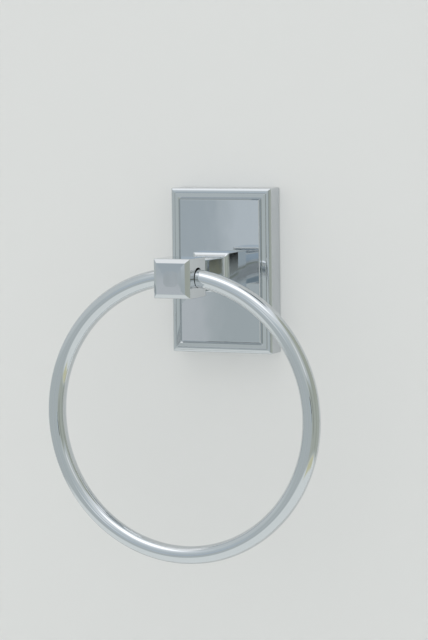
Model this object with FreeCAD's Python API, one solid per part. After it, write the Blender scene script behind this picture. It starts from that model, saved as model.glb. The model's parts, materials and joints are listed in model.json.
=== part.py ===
import FreeCAD, Part
import math
import os
from FreeCAD import Vector

# Towel ring, wall mounted. Sizes are in millimetres.
# The wall is the plane Y = 0 and the part stands out of it towards -Y. +Z is up.
# The origin is on the wall, behind the middle of the back plate.

# Back plate: a hollow die casting with a grooved panel and a moulded, sloping border
PLATE_WIDTH = 62.0
PLATE_HEIGHT = 94.0
PLATE_EDGE_DEPTH = 11.9
PLATE_FACE_DEPTH = 14.5
PLATE_CORNER_RADIUS = 0.9
MOULDING_WIDTH = 2.6
MOULDING_RISE = 1.35
MOULDING_STEP = 0.3
BORDER_WIDTH = 5.2
BORDER_DROP = 0.1
GROOVE_WIDTH = 1.5
GROOVE_DEPTH = 0.8
PLATE_WALL = 2.0
PLATE_SKIN = 2.5

# Post: one casting with a square base, a flare, a square neck and a larger square head
BASE_WIDTH = 22.8
BASE_LENGTH = 11.9
NECK_WIDTH = 17.6
NECK_LENGTH = 28.4
HEAD_WIDTH = 21.9
HEAD_LENGTH = 21.4
HEAD_BEVEL_WIDTH = 2.3
HEAD_BEVEL_RISE = 2.0
HEAD_BACK_RADIUS = 0.9

# Ring: one round rod bent to a circle, its two ends butted inside the head
RING_ROD = 10.0
RING_OUTSIDE = 165.0
RING_SEAM = 0.3
BORE_CLEARANCE = 0.6

# Screw that pulls the post against the plate, its washer, and the peg that stops the post turning
POST_SCREW = 6.0
POST_SCREW_GRIP = 12.0
POST_SCREW_HEAD = 10.0
POST_SCREW_HEAD_HEIGHT = 3.4
POST_SCREW_SOCKET = 4.0
POST_SCREW_SOCKET_DEPTH = 2.2
WASHER_OUTSIDE = 11.0
WASHER_THICKNESS = 1.6
WASHER_SPLIT = 0.8
WASHER_SPLIT_SLANT = 30.0
SCREW_HOLE_CLEARANCE = 0.25
THREAD_CLEARANCE = 0.05
THREAD_RUNOUT = 2.0
PEG = 3.0
PEG_HEIGHT = 2.2
PEG_BELOW_SCREW = 7.5
PEG_CLEARANCE = 0.1

# Wall bracket: bent from steel sheet, hooked behind a lip inside the plate
SHEET = 2.0
SHEET_BEND_RADIUS = 0.8
BRACKET_WIDTH = 40.0
BRACKET_STRAIGHT_TOP = 33.0
BRACKET_TAB_WIDTH = 26.0
BRACKET_JOGGLE = 4.0
BRACKET_FLANGE_LENGTH = 9.0
BRACKET_HOLE = 5.0
BRACKET_HOLE_SPACING = 40.0
BRACKET_CORNER_RADIUS = 3.0
LIP_WIDTH = 22.0
LIP_HEIGHT = 5.6
LIP_CLEARANCE = 0.4
RIB_THICKNESS = 1.8
RIB_HEIGHT = 56.0
RIB_CLEARANCE = 0.3
RIB_SETBACK = 0.6

# Set screw in the plate's lower edge, which bears up against the bracket's lower flange
SET_SCREW = 4.0
SET_SCREW_LENGTH = 8.0
SET_SCREW_SOCKET = 2.0
SET_SCREW_SOCKET_DEPTH = 2.5
SET_SCREW_POINT = 0.7
SET_SCREW_DEPTH = 5.5
SET_SCREW_BOSS = 8.0
SET_SCREW_BOSS_HEIGHT = 3.0
SET_SCREW_REACH = 4.0

# How far a rib or boss runs into the wall that it stands on, how far a cutter runs past
# a face, and how near two places or directions are when they count as one
ROOT = 1.0
OVERSHOOT = 1.0
SAME_PLACE = 0.01

# Places that follow from the sizes above
HALF_WIDTH = PLATE_WIDTH / 2
HALF_HEIGHT = PLATE_HEIGHT / 2
CAVITY_HALF_WIDTH = HALF_WIDTH - PLATE_WALL
CAVITY_HALF_HEIGHT = HALF_HEIGHT - PLATE_WALL
CAVITY_DEPTH = PLATE_FACE_DEPTH - PLATE_SKIN
BASE_FRONT = PLATE_FACE_DEPTH + BASE_LENGTH
FLARE = (BASE_WIDTH - NECK_WIDTH) / 2
HEAD_BACK = BASE_FRONT + NECK_LENGTH + FLARE
HEAD_FRONT = HEAD_BACK + HEAD_LENGTH
BORE_Y = -(HEAD_BACK + HEAD_LENGTH / 2)
ROD_RADIUS = RING_ROD / 2
BORE_RADIUS = ROD_RADIUS + BORE_CLEARANCE
RING_RADIUS = (RING_OUTSIDE - RING_ROD) / 2
RING_SAG = RING_RADIUS - math.sqrt(RING_RADIUS ** 2 - (HEAD_WIDTH / 2) ** 2)
RING_CENTRE = Vector(0, BORE_Y, RING_SAG / 2 - RING_RADIUS)
BOSS_TOP = -CAVITY_HALF_HEIGHT + SET_SCREW_BOSS_HEIGHT
FLANGE_Z = BOSS_TOP + SET_SCREW_REACH
HEX_CORNER = 2 / math.sqrt(3)


def box(x_low, x_high, y_low, y_high, z_low, z_high):
    """A box between two corners."""
    corner = Vector(x_low, y_low, z_low)
    return Part.makeBox(x_high - x_low, y_high - y_low, z_high - z_low, corner)


def square_block(width, y_back, y_front):
    """A square bar about the post's axis, between two depths from the wall."""
    half = width / 2
    return box(-half, half, -y_front, -y_back, -half, half)


def rectangle(half_width, half_height, depth):
    """A rectangular wire that lies parallel to the wall at a depth from it."""
    corners = [(-half_width, -half_height), (half_width, -half_height),
               (half_width, half_height), (-half_width, half_height)]
    points = [Vector(x, -depth, z) for x, z in corners]
    return Part.makePolygon(points + points[:1])


def frustum(half_width_1, half_height_1, depth_1, half_width_2, half_height_2, depth_2):
    """A solid with flat sides between two rectangles at two depths."""
    wires = [rectangle(half_width_1, half_height_1, depth_1),
             rectangle(half_width_2, half_height_2, depth_2)]
    return Part.makeLoft(wires, True, True)


def rod(diameter, start, end):
    """A round bar from one point to another."""
    run = end - start
    return Part.makeCylinder(diameter / 2, run.Length, start, run)


def hexagon(across_flats, start, run):
    """A six-sided bar for a socket, from a point along a run."""
    radius = across_flats * HEX_CORNER / 2
    side = run.cross(Vector(1, 0, 0))
    if side.Length < 1e-6:
        side = run.cross(Vector(0, 1, 0))
    side.normalize()
    turn = FreeCAD.Rotation(run, 60)
    points = [side * radius]
    for _ in range(5):
        points.append(turn.multVec(points[-1]))
    wire = Part.makePolygon([start + p for p in points + points[:1]])
    return Part.Face(wire).extrude(run)


def moulded_profile(half):
    """The border's outline across one direction, as edges of (distance from the middle, depth)."""
    moulding_top = PLATE_EDGE_DEPTH + MOULDING_RISE
    chord_angle = math.atan2(MOULDING_RISE, MOULDING_WIDTH)
    chord = math.hypot(MOULDING_RISE, MOULDING_WIDTH)
    radius = chord / (2 * math.sin(chord_angle))
    inner = half - MOULDING_WIDTH
    middle_x = inner + radius * math.sin(chord_angle)
    middle_depth = moulding_top - radius + radius * math.cos(chord_angle)
    return {
        "corner": (half, PLATE_EDGE_DEPTH),
        "arc_middle": (middle_x, middle_depth),
        "moulding_top": (inner, moulding_top),
        "border_foot": (inner, moulding_top + MOULDING_STEP),
        "border_top": (half - BORDER_WIDTH, PLATE_FACE_DEPTH - BORDER_DROP),
        "panel_edge": (half - BORDER_WIDTH - GROOVE_WIDTH / 2, PLATE_FACE_DEPTH),
    }


def moulded_bar(half, length, along_z):
    """A bar whose section is the plate's full outline across one direction."""
    def point(across, depth):
        if along_z:
            return Vector(across, -depth, -length / 2)
        return Vector(-length / 2, -depth, across)

    def stretch(sign):
        profile = moulded_profile(half)
        spots = {name: point(sign * across, depth) for name, (across, depth) in profile.items()}
        edges = [Part.makeLine(point(sign * half, 0), spots["corner"])]
        arc = Part.Arc(spots["corner"], spots["arc_middle"], spots["moulding_top"])
        edges.append(arc.toShape())
        edges.append(Part.makeLine(spots["moulding_top"], spots["border_foot"]))
        edges.append(Part.makeLine(spots["border_foot"], spots["border_top"]))
        edges.append(Part.makeLine(spots["border_top"], spots["panel_edge"]))
        return edges, spots["panel_edge"]

    right, right_end = stretch(1)
    left, left_end = stretch(-1)
    closing = [Part.makeLine(right_end, left_end), Part.makeLine(point(-half, 0), point(half, 0))]
    wire = Part.Wire(Part.__sortEdges__(right + left + closing))
    run = Vector(0, 0, length) if along_z else Vector(length, 0, 0)
    return Part.Face(wire).extrude(run)


def leaves_wall(edge):
    """Whether an edge runs straight out from the wall."""
    return abs(edge.tangentAt(edge.FirstParameter).y) > 1 - SAME_PLACE


def rounded_prism(half_width, half_height, radius, y_low, y_high):
    """A bar across the wall plane with its four corners rounded."""
    prism = box(-half_width, half_width, y_low, y_high, -half_height, half_height)
    corners = [e for e in prism.Edges if leaves_wall(e)]
    return prism.makeFillet(radius, corners)


def panel_groove():
    """The cutter for the V groove round the panel, with mitred corners."""
    half_width = HALF_WIDTH - BORDER_WIDTH - GROOVE_WIDTH / 2
    half_height = HALF_HEIGHT - BORDER_WIDTH - GROOVE_WIDTH / 2
    bottom = PLATE_FACE_DEPTH - GROOVE_DEPTH
    side = GROOVE_WIDTH / 2
    above = PLATE_FACE_DEPTH + GROOVE_DEPTH
    spread = 2 * side
    outer = frustum(half_width, half_height, bottom, half_width + spread, half_height + spread, above)
    inner = frustum(half_width, half_height, bottom, half_width - spread, half_height - spread, above)
    return outer.cut(inner)


def plate_cavity():
    """The hollow behind the plate: straight walls, then a slope that follows the border."""
    slope_start = PLATE_EDGE_DEPTH - PLATE_WALL
    inset = BORDER_WIDTH + GROOVE_WIDTH
    straight = box(-CAVITY_HALF_WIDTH, CAVITY_HALF_WIDTH, -slope_start, 0,
                   -CAVITY_HALF_HEIGHT, CAVITY_HALF_HEIGHT)
    sloped = frustum(CAVITY_HALF_WIDTH, CAVITY_HALF_HEIGHT, slope_start,
                     HALF_WIDTH - inset, HALF_HEIGHT - inset, CAVITY_DEPTH)
    return straight.fuse(sloped).removeSplitter()


def hanging_lip():
    """The lip at the top of the hollow, which drops behind the bracket's tab."""
    front = BRACKET_JOGGLE - LIP_CLEARANCE
    return box(-LIP_WIDTH / 2, LIP_WIDTH / 2, -front, -RIB_SETBACK,
               CAVITY_HALF_HEIGHT - LIP_HEIGHT, CAVITY_HALF_HEIGHT + ROOT)


def side_rib(sign):
    """A rib that keeps the bracket central in the hollow."""
    inner = BRACKET_WIDTH / 2 + RIB_CLEARANCE
    low, high = sorted((sign * inner, sign * (inner + RIB_THICKNESS)))
    return box(low, high, -CAVITY_DEPTH - ROOT, -RIB_SETBACK, -RIB_HEIGHT / 2, RIB_HEIGHT / 2)


def back_plate():
    """The hollow plate with its panel, border, groove, lip, ribs and screw boss."""
    plate = moulded_bar(HALF_WIDTH, PLATE_HEIGHT, True)
    plate = plate.common(moulded_bar(HALF_HEIGHT, PLATE_WIDTH, False))
    outline = rounded_prism(HALF_WIDTH, HALF_HEIGHT, PLATE_CORNER_RADIUS, -2 * PLATE_FACE_DEPTH, 0)
    plate = plate.common(outline)
    plate = plate.cut(panel_groove()).cut(plate_cavity())
    boss_half = SET_SCREW_BOSS / 2
    boss = box(-boss_half, boss_half, -SET_SCREW_DEPTH - boss_half, -SET_SCREW_DEPTH + boss_half,
               -CAVITY_HALF_HEIGHT - ROOT, BOSS_TOP)
    plate = plate.fuse([hanging_lip(), side_rib(1), side_rib(-1), boss])
    back = Vector(0, -CAVITY_DEPTH + OVERSHOOT, 0)
    front = Vector(0, -PLATE_FACE_DEPTH - OVERSHOOT, 0)
    hole = rod(POST_SCREW + 2 * SCREW_HOLE_CLEARANCE, back, front)
    drop = Vector(0, 0, -PEG_BELOW_SCREW)
    peg_hole = rod(PEG + 2 * PEG_CLEARANCE, back + drop, front + drop)
    thread = rod(SET_SCREW, Vector(0, -SET_SCREW_DEPTH, -HALF_HEIGHT - OVERSHOOT),
                 Vector(0, -SET_SCREW_DEPTH, BOSS_TOP + OVERSHOOT))
    return plate.cut([hole, peg_hole, thread]).removeSplitter()


def flare():
    """The four concave sweeps between the post's base and its neck."""
    neck = NECK_WIDTH / 2
    sweep = square_block(BASE_WIDTH, BASE_FRONT, BASE_FRONT + FLARE)
    for sign in (1, -1):
        for along in (Vector(1, 0, 0), Vector(0, 0, 1)):
            centre = Vector(along.z, 0, along.x) * (sign * (neck + FLARE))
            centre.y = -(BASE_FRONT + FLARE)
            start = centre - along * BASE_WIDTH
            sweep = sweep.cut(Part.makeCylinder(FLARE, 2 * BASE_WIDTH, start, along))
    return sweep


def post_head():
    """The square head with its rounded back edges and its bevelled front."""
    head = square_block(HEAD_WIDTH, HEAD_BACK, HEAD_FRONT)
    back = [e for e in head.Edges if abs(e.CenterOfMass.y + HEAD_BACK) < SAME_PLACE]
    head = head.makeFillet(HEAD_BACK_RADIUS, back)
    half = HEAD_WIDTH / 2
    flat = half - HEAD_BEVEL_WIDTH
    bevel = frustum(half, half, HEAD_FRONT, flat, flat, HEAD_FRONT + HEAD_BEVEL_RISE)
    return head.fuse(bevel).removeSplitter()


def post():
    """The whole post with its cross bore, tapped hole and locating peg."""
    base = square_block(BASE_WIDTH, PLATE_FACE_DEPTH, BASE_FRONT)
    neck = square_block(NECK_WIDTH, PLATE_FACE_DEPTH, HEAD_BACK + HEAD_BACK_RADIUS + ROOT)
    peg = rod(PEG, Vector(0, -PLATE_FACE_DEPTH - ROOT, -PEG_BELOW_SCREW),
              Vector(0, -PLATE_FACE_DEPTH + PEG_HEIGHT, -PEG_BELOW_SCREW))
    body = base.fuse([flare(), neck, post_head(), peg]).removeSplitter()
    bore = rod(2 * BORE_RADIUS, Vector(-HEAD_WIDTH, BORE_Y, 0), Vector(HEAD_WIDTH, BORE_Y, 0))
    depth = PLATE_FACE_DEPTH + POST_SCREW_GRIP + THREAD_RUNOUT
    tapped = rod(POST_SCREW, Vector(0, -PLATE_FACE_DEPTH, 0), Vector(0, -depth, 0))
    return body.cut([bore, tapped]).removeSplitter()


def ring():
    """The round rod bent to a circle, with a hairline seam at the top, inside the head."""
    seam_angle = math.degrees(RING_SEAM / RING_RADIUS)
    start = RING_CENTRE + Vector(0, 0, RING_RADIUS)
    section = Part.Face(Part.Wire(Part.makeCircle(ROD_RADIUS, start, Vector(1, 0, 0))))
    section.rotate(RING_CENTRE, Vector(0, 1, 0), seam_angle / 2)
    return section.revolve(RING_CENTRE, Vector(0, 1, 0), 360 - seam_angle)


def bent_strip(points, thickness, half_width):
    """A sheet strip whose one face follows points in Y and Z, with its bends rounded."""
    count = len(points)
    directions = []
    for (y_1, z_1), (y_2, z_2) in zip(points, points[1:]):
        length = math.hypot(y_2 - y_1, z_2 - z_1)
        directions.append(((y_2 - y_1) / length, (z_2 - z_1) / length))
    other = []
    for i in range(count):
        before = directions[max(i - 1, 0)]
        after = directions[min(i, count - 2)]
        half_turn = math.atan2(before[0] * after[1] - before[1] * after[0],
                               before[0] * after[0] + before[1] * after[1]) / 2
        bisector = math.atan2(before[0], -before[1]) + half_turn
        reach = thickness / math.cos(half_turn)
        other.append((points[i][0] + reach * math.cos(bisector),
                      points[i][1] + reach * math.sin(bisector)))
    outline = [Vector(-half_width, y, z) for y, z in points + other[::-1]]
    wire = Part.makePolygon(outline + outline[:1])
    strip = Part.Face(wire).extrude(Vector(2 * half_width, 0, 0))
    for i in range(1, count - 1):
        for spots, inside in ((points, True), (other, False)):
            turn = (directions[i - 1][0] * directions[i][1]
                    - directions[i - 1][1] * directions[i][0])
            concave = (turn < 0) == inside
            radius = SHEET_BEND_RADIUS if concave else SHEET_BEND_RADIUS + thickness
            edges = [e for e in strip.Edges
                     if math.hypot(e.CenterOfMass.y - spots[i][0],
                                   e.CenterOfMass.z - spots[i][1]) < SAME_PLACE]
            strip = strip.makeFillet(radius, edges)
    return strip


def wall_bracket():
    """The bent sheet bracket: a flat back, a joggled tab at the top and a flange at the bottom."""
    bottom = FLANGE_Z
    points = [(-BRACKET_FLANGE_LENGTH, bottom), (0, bottom), (0, BRACKET_STRAIGHT_TOP),
              (-BRACKET_JOGGLE, BRACKET_STRAIGHT_TOP + BRACKET_JOGGLE),
              (-BRACKET_JOGGLE, CAVITY_HALF_HEIGHT)]
    strip = bent_strip(points, SHEET, BRACKET_WIDTH / 2)
    for sign in (1, -1):
        low, high = sorted((sign * BRACKET_TAB_WIDTH / 2, sign * BRACKET_WIDTH))
        strip = strip.cut(box(low, high, -2 * BRACKET_FLANGE_LENGTH, SHEET,
                              BRACKET_STRAIGHT_TOP - SHEET, CAVITY_HALF_HEIGHT + SHEET))
    shoulders = [e for e in strip.Edges
                 if abs(e.CenterOfMass.z - (BRACKET_STRAIGHT_TOP - SHEET)) < SAME_PLACE
                 and abs(abs(e.CenterOfMass.x) - BRACKET_WIDTH / 2) < SAME_PLACE
                 and leaves_wall(e)]
    strip = strip.makeFillet(BRACKET_CORNER_RADIUS, shoulders)
    holes = [rod(BRACKET_HOLE, Vector(0, SHEET, z), Vector(0, -2 * SHEET, z))
             for z in (-BRACKET_HOLE_SPACING / 2, BRACKET_HOLE_SPACING / 2)]
    return strip.cut(holes).removeSplitter()


def lock_washer():
    """The split spring washer under the post screw's head."""
    back = Vector(0, -CAVITY_DEPTH, 0)
    front = Vector(0, -CAVITY_DEPTH + WASHER_THICKNESS, 0)
    washer = rod(WASHER_OUTSIDE, back, front)
    washer = washer.cut(rod(POST_SCREW + 2 * SCREW_HOLE_CLEARANCE, back, front))
    split = box(-WASHER_SPLIT / 2, WASHER_SPLIT / 2, -CAVITY_DEPTH - WASHER_THICKNESS,
                -CAVITY_DEPTH + 2 * WASHER_THICKNESS, 0, WASHER_OUTSIDE)
    split.rotate(back + Vector(0, WASHER_THICKNESS / 2, 0), Vector(0, 0, 1), WASHER_SPLIT_SLANT)
    return washer.cut(split)


def post_screw():
    """The socket screw that holds the post to the plate from behind."""
    seat = Vector(0, -CAVITY_DEPTH + WASHER_THICKNESS, 0)
    top = seat + Vector(0, POST_SCREW_HEAD_HEIGHT, 0)
    tip = Vector(0, -PLATE_FACE_DEPTH - POST_SCREW_GRIP, 0)
    head = rod(POST_SCREW_HEAD, seat, top)
    shank = rod(POST_SCREW - 2 * THREAD_CLEARANCE, seat, tip)
    socket = hexagon(POST_SCREW_SOCKET, top, Vector(0, -POST_SCREW_SOCKET_DEPTH, 0))
    return head.fuse(shank).cut(socket).removeSplitter()


def set_screw():
    """The socket set screw, with a flat-ended cone point against the bracket's flange."""
    top = Vector(0, -SET_SCREW_DEPTH, FLANGE_Z)
    bottom = top - Vector(0, 0, SET_SCREW_LENGTH)
    body = rod(SET_SCREW - 2 * THREAD_CLEARANCE, bottom, top)
    tip = [e for e in body.Edges if e.Closed and abs(e.CenterOfMass.z - top.z) < SAME_PLACE]
    body = body.makeChamfer(SET_SCREW_POINT, tip)
    socket = hexagon(SET_SCREW_SOCKET, bottom, Vector(0, 0, SET_SCREW_SOCKET_DEPTH))
    return body.cut(socket)


PIECES = {
    "back_plate": back_plate,
    "post": post,
    "ring": ring,
    "wall_bracket": wall_bracket,
    "lock_washer": lock_washer,
    "post_screw": post_screw,
    "set_screw": set_screw,
}

os.makedirs("parts", exist_ok=True)
for name, make in PIECES.items():
    shape = make()
    if len(shape.Solids) != 1 or not shape.isValid():
        raise RuntimeError(name + " isn't one sound solid")
    shape.Solids[0].exportStep("parts/" + name + ".step")
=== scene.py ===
"""Looks, stage and camera for a chrome towel ring, built round its packed model.

The wall is the plane Y = 0, the room is on the -Y side and +Z is up. Lengths are in metres.
"""

import json
import math

import bmesh
import bpy
from bpy.props import FloatProperty, FloatVectorProperty, IntProperty, PointerProperty
from mathutils import Matrix, Vector


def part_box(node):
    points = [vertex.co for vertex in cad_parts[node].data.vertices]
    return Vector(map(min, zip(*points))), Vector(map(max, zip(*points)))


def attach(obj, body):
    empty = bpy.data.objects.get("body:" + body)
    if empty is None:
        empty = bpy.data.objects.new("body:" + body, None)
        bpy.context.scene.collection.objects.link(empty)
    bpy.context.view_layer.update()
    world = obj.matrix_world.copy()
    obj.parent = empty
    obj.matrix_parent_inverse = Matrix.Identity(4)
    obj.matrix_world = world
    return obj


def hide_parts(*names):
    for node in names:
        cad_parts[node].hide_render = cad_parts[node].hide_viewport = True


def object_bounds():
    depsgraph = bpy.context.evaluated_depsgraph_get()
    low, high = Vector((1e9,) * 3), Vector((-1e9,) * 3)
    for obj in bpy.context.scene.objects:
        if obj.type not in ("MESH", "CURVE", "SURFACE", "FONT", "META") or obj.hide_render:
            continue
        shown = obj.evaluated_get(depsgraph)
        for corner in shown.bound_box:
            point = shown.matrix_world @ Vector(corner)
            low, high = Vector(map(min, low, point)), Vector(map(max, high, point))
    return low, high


bl_info = {
    "name": "Chrome Towel Ring",
    "version": (1, 0, 0),
    "blender": (4, 5, 0),
    "location": "3D View > Sidebar > Towel Ring",
    "description": "Makes a wall-mounted chrome towel ring with its fixings, stage and camera",
    "category": "Object",
}

MM = 0.001
# The photograph's height in pixels, and the long side of the camera's sensor in millimetres
PHOTO_HEIGHT = 640
SENSOR = 36.0
CASTING_FINISH = "bright_chrome_on_zinc_casting"

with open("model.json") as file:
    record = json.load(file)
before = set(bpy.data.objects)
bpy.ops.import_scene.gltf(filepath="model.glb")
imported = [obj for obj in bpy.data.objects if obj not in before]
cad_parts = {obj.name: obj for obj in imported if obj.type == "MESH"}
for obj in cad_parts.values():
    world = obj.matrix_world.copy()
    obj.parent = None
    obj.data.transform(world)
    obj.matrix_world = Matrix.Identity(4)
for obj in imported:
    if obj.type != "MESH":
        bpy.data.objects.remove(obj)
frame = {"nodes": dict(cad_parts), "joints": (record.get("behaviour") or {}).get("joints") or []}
CAD_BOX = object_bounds()
RING_LOW, RING_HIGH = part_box("ring")
PLATE_LOW, PLATE_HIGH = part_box("back_plate")
POST_LOW, POST_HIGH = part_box("post")
HINGE = Vector(frame["joints"][0]["pos_m"])


def linear(hex_colour):
    """A linear RGB colour from its sRGB hex value."""
    channels = [int(hex_colour[i:i + 2], 16) / 255 for i in (1, 3, 5)]
    return tuple(c / 12.92 if c <= 0.04045 else ((c + 0.055) / 1.055) ** 2.4 for c in channels)


def length(name, description, metres):
    """A size property in metres."""
    return FloatProperty(name=name, description=description, default=metres, min=0.0,
                         precision=5, unit="LENGTH")


def angle(name, description, degrees):
    """An angle property, given in degrees."""
    return FloatProperty(name=name, description=description, default=math.radians(degrees),
                         subtype="ANGLE")


def colour(name, description, hex_colour):
    """A colour property, given as sRGB hex."""
    return FloatVectorProperty(name=name, description=description, default=linear(hex_colour),
                               size=3, min=0.0, max=1.0, subtype="COLOR")


def amount(name, description, value):
    """A plain number property."""
    return FloatProperty(name=name, description=description, default=value, min=0.0, precision=3)


class RingSizes(bpy.types.PropertyGroup):
    """Sizes of the hanging ring."""
    outside: length("Outside", "Outside diameter of the ring", RING_HIGH.z - RING_LOW.z)
    rod: length("Rod", "Diameter of the bent rod", RING_HIGH.y - RING_LOW.y)
    seam: length("Seam", "Gap between the rod's butted ends, inside the head", 0.3 * MM)
    along: IntProperty(name="Steps along", description="Segments round the ring", default=480)
    around: IntProperty(name="Steps around", description="Segments round the rod", default=56)


class PlateSizes(bpy.types.PropertyGroup):
    """Sizes of the moulded back plate."""
    width: length("Width", "Overall width", PLATE_HIGH.x - PLATE_LOW.x)
    height: length("Height", "Overall height", PLATE_HIGH.z - PLATE_LOW.z)
    depth: length("Depth", "From the wall to the panel's face", -PLATE_LOW.y)
    edge_depth: length("Edge depth", "From the wall to where the moulding starts", 11.9 * MM)
    corner: length("Corner radius", "Radius of the four upright corners", 0.9 * MM)
    moulding_width: length("Moulding width", "Width of the rounded outer moulding", 2.6 * MM)
    moulding_rise: length("Moulding rise", "Rise of the rounded outer moulding", 1.35 * MM)
    moulding_step: length("Moulding step", "Small step inside the moulding", 0.2 * MM)
    border: length("Border", "Width of the whole border outside the groove", 5.15 * MM)
    border_drop: length("Border drop", "How far the border's top lies below the panel", 0.75 * MM)
    quirk_width: length("Quirk width", "Width of the fine groove inside the moulding", 0.5 * MM)
    quirk_depth: length("Quirk depth", "Depth of the fine groove inside the moulding", 0.25 * MM)
    groove_width: length("Groove width", "Width of the V groove round the panel", 1.6 * MM)
    groove_depth: length("Groove depth", "Depth of the V groove round the panel", 1.5 * MM)
    wall: length("Wall", "Thickness of the casting's side walls", 2.0 * MM)
    skin: length("Skin", "Thickness of the casting behind the panel", 2.5 * MM)
    screw_hole: length("Screw hole", "Hole for the post screw", 6.5 * MM)
    peg_hole: length("Peg hole", "Hole for the post's locating peg", 3.2 * MM)
    lip_width: length("Lip width", "Width of the lip that hangs on the bracket", 22.0 * MM)
    lip_height: length("Lip height", "Height of the lip that hangs on the bracket", 5.6 * MM)
    lip_front: length("Lip front", "Depth from the wall to the lip's front", 3.6 * MM)
    rib_place: length("Rib place", "From the middle to a rib's inner face", 20.3 * MM)
    rib_thickness: length("Rib thickness", "Thickness of the two side ribs", 1.8 * MM)
    rib_height: length("Rib height", "Height of the two side ribs", 56.0 * MM)
    setback: length("Setback", "How far lip and ribs stop short of the wall", 0.6 * MM)
    boss: length("Boss", "Width of the square boss for the set screw", 8.0 * MM)
    boss_height: length("Boss height", "How far the boss stands up", 3.0 * MM)
    thread: length("Set screw hole", "Diameter of the set screw's thread", 4.0 * MM)
    thread_depth: length("Set screw depth", "From the wall to the set screw's axis", 5.5 * MM)


class PostSizes(bpy.types.PropertyGroup):
    """Sizes of the square post."""
    base_width: length("Base width", "Width of the square base", POST_HIGH.x - POST_LOW.x)
    base_length: length("Base length", "Length of the base up to the flare", 11.9 * MM)
    base_draft: length("Base draft", "How much the base narrows towards the flare", 0.25 * MM)
    flare_lean: angle("Flare lean", "How far each end of the flare leans from square", 18.0)
    neck_width: length("Neck width", "Width of the square neck", 17.6 * MM)
    head_width: length("Head width", "Width of the square head", 21.9 * MM)
    head_length: length("Head length", "Length of the head without its bevel", 21.4 * MM)
    bevel_width: length("Bevel width", "Width of the bevel round the head's front", 2.3 * MM)
    bevel_rise: length("Bevel rise", "Rise of the bevel round the head's front", 2.0 * MM)
    back_radius: length("Back radius", "Rounding of the head's back edges", 2.0 * MM)
    front_edge: length("Front edge", "Rounding where the head's sides meet its bevel", 1.2 * MM)
    crown: length("Crown", "How far polishing has lowered the rim of the head's front", 0.05 * MM)
    long_edge: length("Long edge", "Rounding of the four edges along the post", 0.55 * MM)
    bore: length("Bore", "Diameter of the cross bore that the ring hangs in", 11.2 * MM)
    thread: length("Screw thread", "Diameter of the tapped hole in the base", 6.0 * MM)
    thread_length: length("Thread length", "Depth of the tapped hole", 14.0 * MM)
    peg: length("Peg", "Diameter of the locating peg", 3.0 * MM)
    peg_height: length("Peg height", "How far the peg stands out", 2.2 * MM)
    peg_drop: length("Peg drop", "How far the peg lies below the screw", 7.5 * MM)


class FinishLooks(bpy.types.PropertyGroup):
    """Colours, polish and edge rounding."""
    chrome: colour("Chrome", "Mirror colour of polished chrome plate", "#d0d4d7")
    as_cast: amount("As-cast roughness", "Roughness inside the plate, where no wheel reaches", 0.34)
    zinc: colour("Zinc", "Colour of bright zinc plate", "#c3c8c9")
    black_oxide: colour("Black oxide", "Colour of blackened steel", "#3a3a3c")
    polish: amount("Polish", "Lowest roughness of the polished chrome", 0.025)
    haze: amount("Haze", "Roughness that wiping and handling add to the chrome", 0.035)
    casting_edge: length("Casting edge", "Rounding of the castings' edges", 0.22 * MM)
    sheet_edge: length("Sheet edge", "Rounding of the stamped sheet's edges", 0.15 * MM)
    screw_edge: length("Screw edge", "Rounding of the screws' edges", 0.12 * MM)


class StageLooks(bpy.types.PropertyGroup):
    """The wall, the floor, the light and the camera."""
    wall: colour("Wall", "Colour of the painted wall", "#d5d7d6")
    floor: colour("Floor", "Colour of the floor", "#ecedeb")
    floor_drop: length("Floor drop", "From the part's lowest point down to the floor", 0.2)
    fill: amount("Fill", "Even light from all round the room", 1.075)
    key: amount("Key", "Brightness of the wide soft light, high in front", 1.7)
    room: amount("Room", "Brightness of the room that the metal mirrors", 1.12)
    thrown: amount("Thrown", "Strength of the light that the metal throws onto the wall", 1.6)
    board_left: length("Board left", "From the part's middle to the wall board's left edge", 0.20)
    board_right: length("Board right", "From the part's middle to the wall board's right edge", 0.14)
    board_height: length("Board height", "From the part's middle to the wall board's top", 0.60)
    azimuth: angle("Azimuth", "How far the camera stands to the right", 24.316)
    elevation: angle("Elevation", "How far the camera stands above", 4.973)
    roll: angle("Roll", "Tilt of the camera about its own axis", -0.686)
    distance: length("Distance", "From the camera to the point it looks at", 1.6117)
    aim_x: FloatProperty(name="Aim X", description="Point looked at, across", unit="LENGTH",
                         default=-10.57 * MM, precision=5)
    aim_z: FloatProperty(name="Aim Z", description="Point looked at, upwards", unit="LENGTH",
                         default=-29.54 * MM, precision=5)
    focal: FloatProperty(name="Focal length", description="Lens over the picture's long side, "
                         "in picture heights", default=2800 / PHOTO_HEIGHT)


# Small helpers for node trees and meshes

def add_node(tree, kind, inputs=None, **settings):
    """Adds a node with its settings and links.

    Inputs map a socket to a value, to another socket, or to a node for that node's first output.
    """
    node = tree.nodes.new(kind)
    for name, value in settings.items():
        setattr(node, name, value)
    for key, value in (inputs or {}).items():
        if isinstance(value, bpy.types.Node):
            value = value.outputs[0]
        if isinstance(value, bpy.types.NodeSocket):
            tree.links.new(value, node.inputs[key])
        else:
            node.inputs[key].default_value = value
    return node


def opaque(rgb):
    """A colour with full alpha."""
    return (*rgb, 1.0)


def new_material(name):
    """An empty node material, its output node and its Principled shader."""
    material = bpy.data.materials.new(name)
    material.use_nodes = True
    tree = material.node_tree
    tree.nodes.clear()
    shader = add_node(tree, "ShaderNodeBsdfPrincipled")
    add_node(tree, "ShaderNodeOutputMaterial", {"Surface": shader})
    return material, tree, shader


def new_object(name, mesh):
    """An object at the origin that is linked to the scene."""
    obj = bpy.data.objects.new(name, mesh)
    bpy.context.scene.collection.objects.link(obj)
    return obj


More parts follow.
